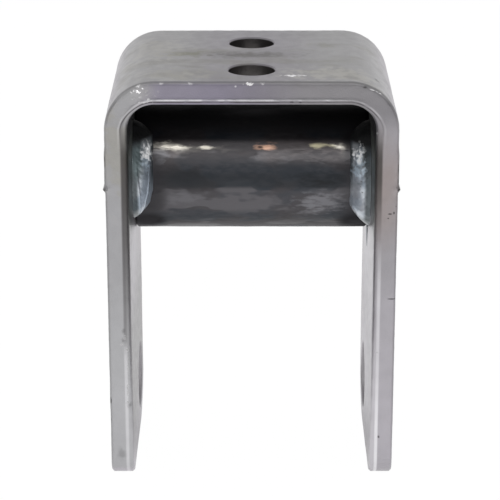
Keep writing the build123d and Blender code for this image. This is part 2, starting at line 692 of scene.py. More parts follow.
    def add_pits(self, paint: Paint, masks: BarMasks) -> None:
        """Adds pits, dark nicks, the galled lips on the legs' outside, dusky marks and painted shade on the
        left leg's rear inner edge.

        Args:
            paint: the finish.
            masks: what the marks share.
        """
        pits = (
            ((47.4, -37.5, 100.1), (0.75, 2.0, 0.35)),
            ((49.4, -37.5, 102.8), (0.3, 2.0, 0.45)),
            ((48.7, -37.5, 100.5), (0.35, 2.0, 0.6)),
            ((46.8, -37.5, 98.5), (0.3, 2.0, 0.25)),
            ((45.0, -37.4, 16.6), (0.6, 1.5, 0.9)),
            ((48.8, -37.5, 69.0), (1.9, 2.0, 0.25)),
            ((-49.9, -37.0, 30.5), (0.5, 1.5, 1.4)),
            ((-49.9, -37.0, 23.0), (0.5, 1.5, 2.2)),
            ((38.0, -37.4, 144.8), (1.5, 1.4, 0.75)),
            ((42.5, -22.8, 143.2), (1.6, 2.3, 1.5)),
            ((13.4, -37.5, 139.7), (1.3, 1.5, 0.45)),
            ((16.3, -37.5, 139.6), (0.8, 1.5, 0.35)),
            ((-50.5, -36.3, 108.6), (1.0, 2.2, 0.9)),
            ((50.5, -36.3, 108.6), (1.0, 2.2, 0.9)),
            ((-50.3, -37.0, 115.0), (0.6, 1.5, 8.0)),
            ((50.3, -37.0, 115.0), (0.6, 1.5, 8.0)),
        )
        paint.lay(self.pit_and_shade_dark, paint.spots(pits, 0.7, masks.mottle), 0.8)
        for centre, radii, strength in (
            ((-46.3, -37.5, 9.9), (1.5, 1.5, 3.0), 0.3),
            ((-45.0, -37.5, 53.3), (0.7, 1.5, 1.0), 0.6),
            ((-44.7, -37.5, 57.0), (0.6, 1.5, 1.2), 0.35),
            ((-42.9, -36.4, 28.8), (1.0, 2.6, 1.5), 0.5),
            ((0.0, -37.5, 142.5), (12.0, 2.0, 8.0), 0.12),
            # painted shade along the left leg's rear inner edge
            ((-42.0, 36.8, 52.0), (1.6, 1.6, 26.0), 0.55),
            ((-42.0, 30.0, 78.0), (1.2, 6.0, 3.0), 0.3),
        ):
            paint.lay(self.pit_and_shade_dark, paint.spot(centre, radii, 1.2, masks.mottle), strength)

    def scratch(self, paint: Paint, masks: BarMasks) -> Socket:
        """Scratches and nicks the bar down to bright metal.

        Args:
            paint: the finish.
            masks: what the marks share.

        Returns:
            The mask of the torn metal.
        """
        height, chips = self.sizes.height, masks.chips
        scratches = (
            ((14.2, -28.0, height), (4.2, 1.9, 0.9)),
            ((-1.2, -37.1, 146.0), (2.4, 1.2, 0.6)),
        )
        # two long ones run down the right bend, and one across the top
        runs = (
            ((40.6, -37.2, 143.95), (1.7, 1.3, 0.11), -21.0),
            ((43.0, -37.2, 142.75), (1.5, 1.3, 0.11), -30.0),
            ((14.3, -28.2, height), (6.0, 1.2, 0.9), 0.0),
        )
        flecks = (
            ((3.6, -37.1, 146.1), (0.8, 1.1, 0.5)),
            ((-5.5, -37.3, 145.2), (0.55, 1.0, 0.35)),
            ((-20.6, -37.1, 146.2), (1.1, 1.0, 0.5)),
            ((-30.3, -37.3, 146.2), (0.7, 1.0, 0.5)),
            ((-36.9, -37.3, 139.6), (1.6, 1.2, 0.45)),
            ((42.6, -36.5, 128.6), (0.5, 1.5, 0.5)),
            ((44.0, -37.2, 76.0), (0.4, 1.4, 0.4)),
            ((44.0, -37.2, 49.0), (0.8, 1.4, 0.3)),
            ((-44.4, -37.2, 54.6), (0.7, 1.4, 0.9)),
            ((-45.3, -37.2, 51.8), (0.8, 1.4, 0.5)),
            ((-43.6, -37.1, 49.6), (0.7, 1.4, 1.0)),
            ((-43.4, -36.9, 44.0), (0.35, 1.4, 3.4)),
            ((-43.7, -36.9, 34.5), (0.45, 1.4, 4.2)),
            ((-43.9, -37.0, 29.8), (0.8, 1.4, 0.6)),
        )
        pecked = paint.spot((-37.2, -37.4, 143.0), (4.6, 1.6, 5.4), 0.9, masks.mottle)
        pecks = paint.grain(1.2, 2.0, (1.5, 1.0, 1.0), (0.53, 0.6), 5.3)
        fresh = paint.most(
            paint.spots(scratches, 0.4, chips),
            *(paint.spot(centre, radii, 0.5, chips, turn) for centre, radii, turn in runs),
            paint.times(paint.spots(flecks, 0.5, chips), 0.5),
            paint.times(pecked, pecks, 0.75),
        )
        paint.lay(self.bare, fresh)
        # the one across the top is scored along its floor, so that it glints from more than one side
        scored = paint.grain(0.6, 2.0, (0.6, 1.4, 1.0), (0.5, 0.66), 8.2)
        on_top = paint.band(paint.y, -35.5, -33.5)
        return paint.times(fresh, paint.levels(paint.times(scored, on_top), self.torn, 0.66))

    def line_holes(self, paint: Paint) -> Socket:
        """Darkens the web holes' drilled walls, and brightens the pin holes' walls with painted light.

        Args:
            paint: the finish.

        Returns:
            The mask of the pin holes' walls.
        """
        s = self.sizes
        below_top = paint.band(paint.z, s.height - 0.15, s.height - 0.9)
        radius, depth = s.web_hole_radius + 0.5, 4.4
        for hole_y in s.web_hole_y:
            wall = paint.spot((0.0, hole_y, s.height - depth), (radius, radius, 60.0), 0.02)
            paint.lay(self.hole_wall, paint.times(wall, below_top))
        radius = s.pin_hole_radius + 0.2
        bore = paint.spot((0.0, s.tube_y, s.pin_hole_z), (900.0, radius, radius), 0.01)
        # painted light on the pin holes' walls, which lie in shade
        paint.lay(self.pin_wall, bore, 0.9)
        return bore

    def build(self) -> bpy.types.Material:
        """Builds the finish.

        Returns:
            The material.
        """
        paint = Paint(self.name)
        masks = self.masks(paint)
        paint.ground(self.grey, self.light_grey, masks.cloud)
        self.stain_top(paint, masks)
        self.shade_front(paint, masks)
        inside = self.scale_and_shade_inside(paint, masks)
        matt_edge = self.edge_wear_and_painted_light(paint, masks)
        self.add_pits(paint, masks)
        torn = self.scratch(paint, masks)
        bore = self.line_holes(paint)
        satin = paint.levels(masks.mottle, *self.satin)
        matt = paint.most(matt_edge, paint.times(inside, self.inside_matt), bore)
        # grit marks of tumbling are about 0.05 mm; drawn at 0.5 mm so that they show
        grit = paint.grain(0.5, 2.0, contrast=(0.3, 0.7))
        relief = paint.plus(grit, masks.mottle, 0.6)
        return paint.finish(paint.plus(satin, matt, self.matt), relief, self.relief, self.metallic, torn)


@dataclass(frozen=True)
class MillScaleSteel:
    """Hot-finished tube under mill scale: charcoal with a dull sheen, rubbed lighter in patches."""

    sizes: BracketSizes
    name: str = "mill-scale steel"
    charcoal: str = "373437"
    blue_black: str = "2c323a"
    rubbed: str = "58565a"
    bright: str = "f0eade"
    rust: str = "cba48e"
    straw: str = "bdb488"
    soot_and_shade: str = "2a282c"
    brown_sheen: str = "6f6767"
    dark: str = "1b2026"
    scuffed: str = "85858a"
    near_black_and_shade: str = "141416"
    scale_metallic: float = 0.35  # scale hides most of the metal,
    bare_metallic: float = 0.8  # which shows where it came off
    sheen: tuple[float, float] = (0.36, 0.5)  # roughness of mill scale
    matt: float = 0.4  # how much rougher the shaded top and the lower corners are
    relief: float = 0.02
    torn: float = 0.15

    def scale(self, paint: Paint, fine: Socket, flakes: Socket, patches: Socket) -> None:
        """Lays the scale: its ground, a lighter strip below the middle, and lengthways bands, one of them
        partly painted sheen.

        Args:
            paint: the finish.
            fine: specks along the tube.
            flakes: lengthways flakes.
            patches: broad patches.
        """
        z, middle, tube_y = paint.z, self.sizes.tube_z, self.sizes.tube_y
        paint.ground(self.charcoal, self.blue_black, paint.times(patches, 0.9))
        # a lighter grey strip below the middle, with a ragged upper edge
        wavering = paint.plus(z, flakes, 1.6 * MM)
        strip = paint.times(
            paint.band(z, middle - 13.6, middle - 9.6),
            paint.band(wavering, middle - 0.6, middle - 2.0),
            paint.band(paint.y, tube_y, tube_y - 9.0),
        )
        paint.lay(self.rubbed, paint.times(strip, paint.levels(flakes, 1.0, 0.3)))
        paint.lay(self.rubbed, fine, 0.22)
        # a browner band above the middle, partly painted sheen, and a dark one along it
        sheen_band = paint.stripe(z, (middle + 5.0, middle + 11.0), (middle + 15.6, middle + 13.4))
        paint.lay(self.brown_sheen, sheen_band, 0.34)
        belt = paint.stripe(z, (middle - 2.6, middle - 0.8), (middle + 5.0, middle + 2.0))
        paint.lay(self.dark, belt, 0.55)

    def bare_places(self, paint: Paint, fine: Socket) -> Socket:
        """Bares a few places along the upper front, some of them straw-coloured or rusty.

        Args:
            paint: the finish.
            fine: specks along the tube.

        Returns:
            Their mask.
        """
        places = (
            ((-30.0, -3.7, 114.4), (9.0, 3.0, 1.5)),
            ((-16.5, -3.9, 114.0), (3.0, 3.0, 0.9)),
            ((5.3, -3.9, 114.1), (4.6, 3.0, 1.2)),
            ((32.0, -3.9, 114.0), (6.0, 3.0, 1.2)),
            ((24.0, -3.9, 114.2), (3.6, 3.0, 0.9)),
        )
        straw_place = paint.spot((24.0, -3.9, 114.0), (5.0, 6.0, 3.0), 0.8)
        rusty_place = paint.spot((5.3, -3.9, 114.0), (7.0, 6.0, 4.0), 0.5)
        tarnish = paint.blend(self.bright, self.straw, paint.times(straw_place, 0.7))
        tarnish = paint.blend(tarnish, self.rust, rusty_place)
        bare = paint.spots(places, 1.0, fine)
        paint.lay(tarnish, bare)
        return bare

    def build(self) -> bpy.types.Material:
        """Builds the finish.

        Returns:
            The material.
        """
        paint = Paint(self.name)
        fine = paint.grain(1.6, 4.0, (2.5, 1.0, 1.0), seed=0.2)
        flakes = paint.grain(9.0, 3.0, (2.6, 1.0, 1.0), (0.44, 0.5), 0.9)
        patches = paint.grain(14.0, 3.0, (1.8, 1.0, 1.0), (0.46, 0.56), 2.7)
        self.scale(paint, fine, flakes, patches)
        # painted shade on the top, out of reach under the web, which is also matt
        shaded_top = paint.band(paint.z, self.sizes.tube_z + 15.2, self.sizes.tube_z + 19.0)
        paint.lay(self.soot_and_shade, shaded_top)
        bare = self.bare_places(paint, fine)
        for centre, radii, hue, strength, ragged in (
            # the faint bright entries at z 113.4 and 112.4 are painted sheen
            ((-22.0, -4.3, 113.4), (14.0, 3.0, 1.6), self.bright, 0.12, fine),
            ((3.1, -3.9, 113.9), (1.1, 3.0, 0.45), self.soot_and_shade, 0.9, fine),
            ((32.8, -4.6, 112.4), (2.0, 3.0, 2.4), self.bright, 0.14, fine),
            ((16.0, -6.6, 105.6), (13.0, 5.0, 3.6), self.blue_black, 0.85, patches),
            ((24.0, -7.0, 102.0), (13.0, 5.0, 3.6), self.dark, 0.9, fine),
            ((18.0, -4.6, 111.2), (17.0, 4.0, 2.2), self.charcoal, 0.6, fine),
            ((25.0, -4.8, 110.9), (9.5, 4.0, 2.1), self.soot_and_shade, 0.6, fine),
            ((-22.0, -6.6, 104.0), (8.0, 5.0, 4.0), self.dark, 0.7, patches),
            ((25.0, -5.5, 94.5), (9.5, 6.0, 4.2), self.scuffed, 0.75, fine),
            ((21.0, -3.5, 89.8), (5.5, 5.0, 1.6), self.scuffed, 0.6, fine),
            ((-25.0, -5.5, 95.6), (8.0, 6.0, 3.2), self.scuffed, 0.22, fine),
            ((25.0, -6.8, 98.4), (8.5, 4.0, 1.7), self.scuffed, 0.3, fine),
            ((24.0, -4.2, 91.2), (8.5, 4.0, 1.8), self.scuffed, 0.4, fine),
            ((25.0, -7.3, 101.4), (4.5, 4.0, 1.8), self.near_black_and_shade, 0.6, fine),
            ((35.2, -3.0, 113.0), (2.6, 6.0, 7.0), self.soot_and_shade, 0.9, None),
            ((-32.0, -4.5, 111.0), (3.5, 4.0, 3.0), self.scuffed, 0.6, fine),
            # painted shade at the lower ends, beside the legs
            ((38.5, -5.0, 91.5), (7.0, 8.0, 7.5), self.soot_and_shade, 0.85, patches),
            ((-35.5, -5.0, 96.0), (5.0, 8.0, 12.0), self.soot_and_shade, 0.75, patches),
        ):
            paint.lay(hue, paint.spot(centre, radii, 1.1, ragged), strength)
        # painted shade in the lower corners, below the welds, which are also matt;
        # and the tube darkens towards the welds
        low_corners = (((38.5, -0.5, 84.6), (6.4, 8.0, 5.0)), ((-37.0, -1.8, 85.6), (5.6, 7.0, 3.4)))
        shaded_low_corners = paint.spots(low_corners, 0.9)
        paint.lay(self.near_black_and_shade, shaded_low_corners, 0.92)
        for side in Side:
            paint.lay(self.soot_and_shade, paint.band(paint.x, side.value * 28.0, side.value * 37.5), 0.75)

        sheen = paint.levels(flakes, *self.sheen)
        roughness = paint.plus(sheen, paint.most(shaded_top, shaded_low_corners), self.matt)
        metallic = paint.levels(bare, self.scale_metallic, self.bare_metallic)
        relief = paint.plus(fine, flakes, 1.0)
        return paint.finish(roughness, relief, self.relief, metallic, paint.times(bare, self.torn))


@dataclass(frozen=True)
class WeldMetal:
    """As-welded filler metal: a bluish silver skin, with a tight, bright highlight painted on its crests."""

    sizes: BracketSizes
    name: str = "weld metal"
    silver: str = "d2d8df"
    slate: str = "a7b2be"
    bright: str = "f6f7f8"
    icy: str = "d6e6f4"
    silica: str = "4b443c"
    toe: str = "333b3c"
    verdigris: str = "93a3a6"
    shade: str = "0e0f11"
    metallic: float = 0.75  # filler metal under a thin oxide,
    painted_metallic: float = 0.1  # and on the painted highlights and the painted shade
    sheen: tuple[float, float] = (0.3, 0.42)  # roughness of a weld's skin
    matt: float = 0.4  # how much rougher the start in painted shade is
    relief: float = 0.03
    torn: float = 0.8

    def darken_toes(self, paint: Paint, across: Socket) -> Socket:
        """Darkens the toes by oxide, and paints shade on the ends of the runs.

        Args:
            paint: the finish.
            across: distance from the middle, along x.

        Returns:
            The mask of the painted shade on the starts of the runs.
        """
        z, middle, face = paint.z, self.sizes.tube_z, self.sizes.inner_face
        right = paint.band(paint.x, -1.0, 1.0)
        # the toe on the leg widens upwards
        slanted = paint.plus(across, paint.beyond(z, middle), 0.07)
        leg_toe = paint.band(slanted, face - 2.6, face - 1.2)
        above_end = paint.band(z, middle - 18.0, middle - 12.0)
        paint.lay(self.toe, paint.times(leg_toe, above_end), 0.85)
        tube_toe = paint.times(paint.band(across, 36.3, 35.2), paint.band(z, 98.0, 106.0))
        paint.lay(self.toe, tube_toe, 0.75)
        # the left run's upper toe is a paler, bluish green
        paint.lay(self.verdigris, paint.spot((-40.4, -9.0, middle + 8.6), (2.2, 6.0, 6.4), 0.9), 0.8)
        # painted shade blackens the starts, under the web, 1.5 mm further down on the right
        lowered = paint.plus(z, right, 1.5 * MM)
        start = paint.band(lowered, middle + 13.2, middle + 16.8)
        paint.lay(self.shade, start)
        # painted shade on the right run's lower end, in the crevice
        shaded_end = paint.times(right, paint.band(z, middle - 11.6, middle - 13.4))
        paint.lay(self.toe, shaded_end, 0.6)
        return start

    def build(self) -> bpy.types.Material:
        """Builds the finish.

        Returns:
            The material.
        """
        paint = Paint(self.name)
        middle = self.sizes.tube_z
        skin = paint.grain(6.0, 2.0, (1.0, 1.0, 2.0), (0.4, 0.6), 0.4)
        silica_flecks = paint.grain(1.2, 2.0, contrast=(0.66, 0.74), seed=1.3)
        frost = paint.grain(1.5, 2.0, seed=2.1)
        paint.ground(self.silver, self.slate, skin)
        paint.lay(self.silica, silica_flecks, 0.6)
        start = self.darken_toes(paint, paint.unsigned(paint.x))
        # painted highlights: almost white on the crests, and an icy glow below them
        crest_highlights = paint.spots(
            (
                ((-37.4, -6.8, middle + 11.5), (3.3, 4.4, 3.6)),
                ((38.0, -7.4, middle + 10.8), (2.9, 4.0, 3.8)),
            ),
            0.8,
            frost,
        )
        lower_glow = paint.spots(
            (
                ((-37.8, -8.5, middle + 8.6), (2.2, 4.0, 3.4)),
                ((38.4, -9.0, middle + 7.6), (2.5, 4.4, 4.8)),
                ((37.6, -9.6, middle + 5.6), (3.4, 4.4, 2.3)),
            ),
            0.9,
            frost,
        )
        paint.lay(self.icy, lower_glow)
        paint.lay(self.bright, crest_highlights)
        roughness = paint.plus(paint.levels(skin, *self.sheen), start, self.matt)
        less_metallic = paint.most(start, paint.plus(crest_highlights, lower_glow, 0.25))
        metallic = paint.levels(less_metallic, self.metallic, self.painted_metallic)
        glints = paint.grain(0.8, 2.0, contrast=(0.36, 0.56), seed=3.7)
        return paint.finish(roughness, frost, self.relief, metallic, paint.times(crest_highlights, glints, self.torn))


# --- pieces -------------------------------------------------------------------------------
@dataclass(frozen=True)
class BentBar:
    """The flat bar, bent into a U, with its rolled edges, holes and rounded feet."""

    sizes: BracketSizes
    name: str = "bent_flat_bar"
    node: str = "bent_bar"
    slot: str = "bar_steel"
    step: float = 1.1  # spacing of sections along the legs and the web
    bend_steps: int = 26
    width_steps: int = 46
    foot_allowance: float = 3.0  # extra length that the foot cutters take off
    foot_reach: float = 14.0  # how far out those cutters reach
    foot_chamfer: float = 0.7
    foot_margin: float = 1.5  # how far they go past the bar's faces,
    foot_clear: float = 0.03  # and past its edges
    foot_rise: float = 2.0  # how far above the corners they start
    foot_steps: tuple[int, int] = (18, 30)  # facets of the front and the rear corner
    lip_z: float = 108.7  # the pressed lip on the outside of each leg
    lip_height: float = 0.85
    lip_half_width: float = 0.8
    galled_height: float = 0.25  # the strip above it
    hole_break: float = 0.5
    pin_hole_break: float = 0.35
    cutter_overrun: float = 2.0
    cutter_sides: int = 128
    # rolling leaves a fine raised lip and a crease where the front and rear edges turn in:
    # (distance past the end of the flat, height)
    crease: tuple[tuple[float, float], ...] = (
        (-0.9, 0.0),
        (-0.6, -0.08),
        (-0.35, -0.06),
        (-0.15, 0.12),
        (0.05, 0.08),
    )
    crease_floor: float = 0.05
    # (height, length) of the surface's waves
    long_wave: tuple[float, float] = (0.07, 14.0)
    short_wave: tuple[float, float] = (0.035, 4.0)
    handling: tuple[float, float] = (0.06, 1.6)

    def section(self, edge: float) -> list[tuple[float, float]]:
        """The bar's section at one station.

        Args:
            edge: the rounding of the inner long edges.

        Returns:
            Points (depth from the outer face, y), from the rear of the outer face to the
            front, along the front edge, and back over the inner face and the rear edge.
        """
        s, floor, steps = self.sizes, self.crease_floor, self.width_steps
        half, outer = s.bar_width / 2, s.outer_edge
        flat_end = s.thickness - edge
        crease_start = flat_end + self.crease[0][0]
        # the crease is soft on the legs and sharp on the web
        sharp = 0.2 + 0.8 * ((s.leg_edge - edge) / (s.leg_edge - s.web_edge)) ** 3
        front: list[tuple[float, float]] = []
        for a in (math.radians(angle) for angle in range(0, 91, 15)):
            front.append((outer * (1 - math.cos(a)), outer * (1 - math.sin(a))))
        for share in (0.25, 0.5, 0.75):
            front.append((outer + (crease_start - outer) * share, 0.0))
        front += [(flat_end + past, height * sharp) for past, height in self.crease]
        for a in (math.radians(90 * i / 8) for i in range(1, 9)):
            front.append((flat_end + edge * math.sin(a), floor + (edge - floor) * (1 - math.cos(a))))
        outer_run, inner_run = 2 * (half - outer), 2 * (half - edge)
        loop = [(0.0, half - outer - outer_run * i / steps) for i in range(steps)]
        loop += [(depth, -half + inset) for depth, inset in front]
        loop += [(s.thickness, -half + edge + inner_run * i / steps) for i in range(1, steps)]
        loop += [(depth, half - inset) for depth, inset in reversed(front)]
        return loop[:-1]

    def stations(self) -> list[tuple[Point, Point, float]]:
        """The stations of the sweep, up the left leg, over the web and down the right one.

        Returns:
            For each: the point on the outer face in the plane y = 0, the direction into the
            bar, and the rounding of the inner edges there.
        """
        s = self.sizes
        half, bend = s.width / 2, s.outer_bend
        bend_z = s.height - bend
        out: list[tuple[Point, Point, float]] = []
        leg_steps = round((bend_z + self.foot_allowance) / self.step)
        for i in range(leg_steps):
            z = -self.foot_allowance + (bend_z + self.foot_allowance) * i / leg_steps
            out.append(((-half, 0.0, z), (1.0, 0.0, 0.0), s.leg_edge))
        for i in range(self.bend_steps):
            t = i / self.bend_steps
            a = math.radians(90 * t)
            point = (-half + bend - bend * math.cos(a), 0.0, bend_z + bend * math.sin(a))
            edge = s.leg_edge + (s.web_edge - s.leg_edge) * smooth(0, 1, t)
            out.append((point, (math.cos(a), 0.0, -math.sin(a)), edge))
        web_steps = round((s.width - 2 * bend) / 2 / self.step)
        for i in range(web_steps):
            x = (-half + bend) * (1 - i / web_steps)
            out.append(((x, 0.0, s.height), (0.0, 0.0, -1.0), s.web_edge))
        mirrored = [((-p[0], p[1], p[2]), (-d[0], d[1], d[2]), e) for p, d, e in out]
        return out + [((0.0, 0.0, s.height), (0.0, 0.0, -1.0), s.web_edge)] + mirrored[::-1]

    def relief(self, point: Vector, depth: float, y: float) -> float:
        """How far the surface stands proud at a point: rolling waves, handling and the pressed lips.

        Args:
            point: the point, in millimetres.
            depth: its depth from the bar's outer face.
            y: its place across the bar's width.

        Returns:
            Millimetres outwards.
        """
        waves = (self.long_wave, self.short_wave)
        wave = sum(height * noise.noise(point / length) for height, length in waves)
        near_edge = smooth(3.0, 0.3, self.sizes.bar_width / 2 - abs(y))
        height, length = self.handling
        handling = height * near_edge * noise.noise(point / length + Vector((7, 3, 1)))
        lip = 0.0
        if depth < 2.0 and abs(point.x) > self.sizes.width / 2 - 3:
            # a nub, and above it a strip that galled against the die
            rise = point.z - self.lip_z
            nub = self.lip_height * math.exp(-((rise / self.lip_half_width) ** 2))
            galled = self.galled_height * smooth(-0.5, 1.5, rise) * smooth(15.5, 12.0, rise)
            lip = smooth(-24.0, -33.0, y) * (nub + galled) * smooth(1.6, 0.5, depth)
        return wave + handling + lip

    def swept(self) -> bpy.types.Object:
        """Builds the swept bar, with its feet too long and no holes yet.

        Returns:
            The bar.
        """
        vertices: list[Vector] = []
        stations = self.stations()
        count = 0
        for origin, inward, edge in stations:
            loop = self.section(edge)
            count = len(loop)
            base, into = Vector(origin), Vector(inward)
            middle = self.sizes.thickness / 2
            for index, (u, y) in enumerate(loop):
                point = base + into * u + Vector((0, y, 0))
                before, after = loop[index - 1], loop[(index + 1) % count]
                du, dy = after[0] - before[0], after[1] - before[1]
                size = math.hypot(du, dy) or 1.0
                normal = into * (dy / size) + Vector((0, -du / size, 0))
                outwards = into * (u - middle) + Vector((0, y, 0)) * 0.1
                if normal.dot(outwards) < 0:
                    normal = -normal
                vertices.append(point + normal * self.relief(point, u, y))
        faces = grid_faces(len(stations), count)
        last = (len(stations) - 1) * count
        faces.append(tuple(range(count)))
        faces.append(tuple(range(last, last + count)))
        return mesh_object(self.name, vertices, faces)

    def turned_cutter(
        self, profile: Sequence[tuple[float, float]], centre: Point, along_x: bool
    ) -> bpy.types.Object:
        """A round cutter from (distance along its axis, radius) pairs.

        Args:
            profile: the pairs, end to end.
            centre: the point on its axis at distance 0.
            along_x: whether its axis is x rather than z.

        Returns:
            The cutter.
        """
        sides = self.cutter_sides
        vertices = []
        for along, radius in profile:
            for i in range(sides):
                a = 2 * math.pi * i / sides
                c, s = radius * math.cos(a), radius * math.sin(a)
                offset = (along, c, s) if along_x else (c, s, along)
                vertices.append(tuple(centre[k] + offset[k] for k in range(3)))
        faces = grid_faces(len(profile), sides)
        last = (len(profile) - 1) * sides
        faces += [tuple(range(sides)), tuple(range(last, last + sides))]
        return mesh_object("cutter", vertices, faces)

    def foot_cutter(self, side: Side) -> bpy.types.Object:
        """What rounds one leg's foot, with its edges broken by a small chamfer.

        Args:
            side: the leg.

        Returns:
            The cutter.
        """
        s = self.sizes
        half, clear, margin = s.bar_width / 2, self.foot_clear, self.foot_margin
        # y, z and the outward normal, round the front corner and then the rear one
        path = [(-half - clear, s.front_corner + self.foot_rise, -1.0, 0.0)]
        radius, steps = s.front_corner, self.foot_steps[0]
        for share in (i / steps for i in range(steps + 1)):
            ny, nz = -math.cos(math.radians(90 * share)), -math.sin(math.radians(90 * share))
            path.append((-half + radius + ny * (radius + clear * (1 - share)), radius + nz * radius, ny, nz))
        radius, steps = s.rear_corner, self.foot_steps[1]
        for share in (i / steps for i in range(steps + 1)):
            ny, nz = math.sin(math.radians(90 * share)), -math.cos(math.radians(90 * share))
            path.append((half - radius + ny * (radius + clear * share), radius + nz * radius, ny, nz))
        path.append((half + clear, s.rear_corner + self.foot_rise, 1.0, 0.0))
        inner, outer, chamfer = s.inner_face, s.width / 2, self.foot_chamfer
        rows = (
            (inner - margin, chamfer + margin),
            (inner + chamfer, 0.0),
            (outer - chamfer, 0.0),
            (outer + margin, chamfer + margin),
        )
        vertices: list[Point] = []
        for x, inset in rows:
            for y, z, ny, nz in path:
                vertices.append((side.value * x, y - ny * inset, z - nz * inset))
            for y, z, ny, nz in reversed(path):
                vertices.append((side.value * x, y + ny * self.foot_reach, z + nz * self.foot_reach))
        count = 2 * len(path)
        faces = grid_faces(len(rows), count)
        # each end is a strip of quads between the inner and the outer path
        for row in (0, len(rows) - 1):
            base = row * count
            for i in range(len(path) - 1):
                faces.append((base + i, base + i + 1, base + count - 2 - i, base + count - 1 - i))
        return mesh_object("cutter", vertices, faces)

    def build(self, steel: bpy.types.Material) -> bpy.types.Object:
        """Builds and dresses the bar.

        Args:
            steel: its finish.

        Returns:
            The piece.
        """
        s, over = self.sizes, self.cutter_overrun
        bar = self.swept()
        cutters = []
        for y in s.web_hole_y:
            r, b = s.web_hole_radius, self.hole_break
            through = s.thickness + 2 * over
            profile = ((-through, r), (-b, r), (0.0, r + b), (over, r + b + over))
            cutters.append(self.turned_cutter(profile, (0.0, y, s.height), along_x=False))
        r, b = s.pin_hole_radius, self.pin_hole_break
        for side in Side:
            near, far = s.inner_face, s.width / 2
            profile = (
                (near - over, r + b + over),
                (near, r + b),
                (near + b, r),
                (far - b, r),
                (far, r + b),
                (far + over, r + b + over),
            )
            turned = tuple((side.value * along, radius) for along, radius in profile)
            cutters.append(self.turned_cutter(turned, (0.0, s.tube_y, s.pin_hole_z), along_x=True))
            cutters.append(self.foot_cutter(side))
        subtract(bar, cutters)
        crisp(bar.data, SHARP_ANGLE)
        return dress(bar, steel, self.node)


@dataclass(frozen=True)
class CrossTube:
    """The tube between the legs, its ends lightly bevelled, so that a crevice shows where no weld is."""

    sizes: BracketSizes
    name: str = "cross_tube_shell"
    node: str = "cross_tube"
    slot: str = "tube_steel"
    sides: int = 168
    end_bevel: float = 0.9
    spacing: float = 0.9
    # (height, length) of the surface's waves
    long_wave: tuple[float, float] = (0.05, 9.0)
    short_wave: tuple[float, float] = (0.03, 2.2)

    def build(self, steel: bpy.types.Material) -> bpy.types.Object:
        """Builds and dresses the tube.

        Args:
            steel: its finish.

        Returns:
            The piece.
        """
        s = self.sizes
        half = s.inner_face
        steps = round(2 * (half - self.end_bevel) / self.spacing)
        rows: list[tuple[float, float, bool]] = [(-half, s.tube_radius - self.end_bevel, False)]
        for i in range(steps + 1):
            x = (half - self.end_bevel) * (2 * i / steps - 1)
            rows.append((x, s.tube_radius, True))
        rows.append((half, s.tube_radius - self.end_bevel, False))
        bore = s.tube_radius - s.tube_wall
        rows += [(half, bore, False), (0.0, bore, False), (-half, bore, False)]
        vertices = []
        for x, radius, outer in rows:
            for i in range(self.sides):
                a = 2 * math.pi * i / self.sides
                out = Vector((0, -math.cos(a), math.sin(a)))
                point = Vector((x, s.tube_y, s.tube_z)) + out * radius
                if outer:
                    waves = (self.long_wave, self.short_wave)
                    point += out * sum(height * noise.noise(point / length) for height, length in waves)
                vertices.append(point)
        faces = grid_faces(len(rows), self.sides)
        last = (len(rows) - 1) * self.sides
        faces += [(last + i, last + (i + 1) % self.sides, (i + 1) % self.sides, i) for i in range(self.sides)]
        tube = mesh_object(self.name, vertices, faces)
        return dress(tube, steel, self.node)


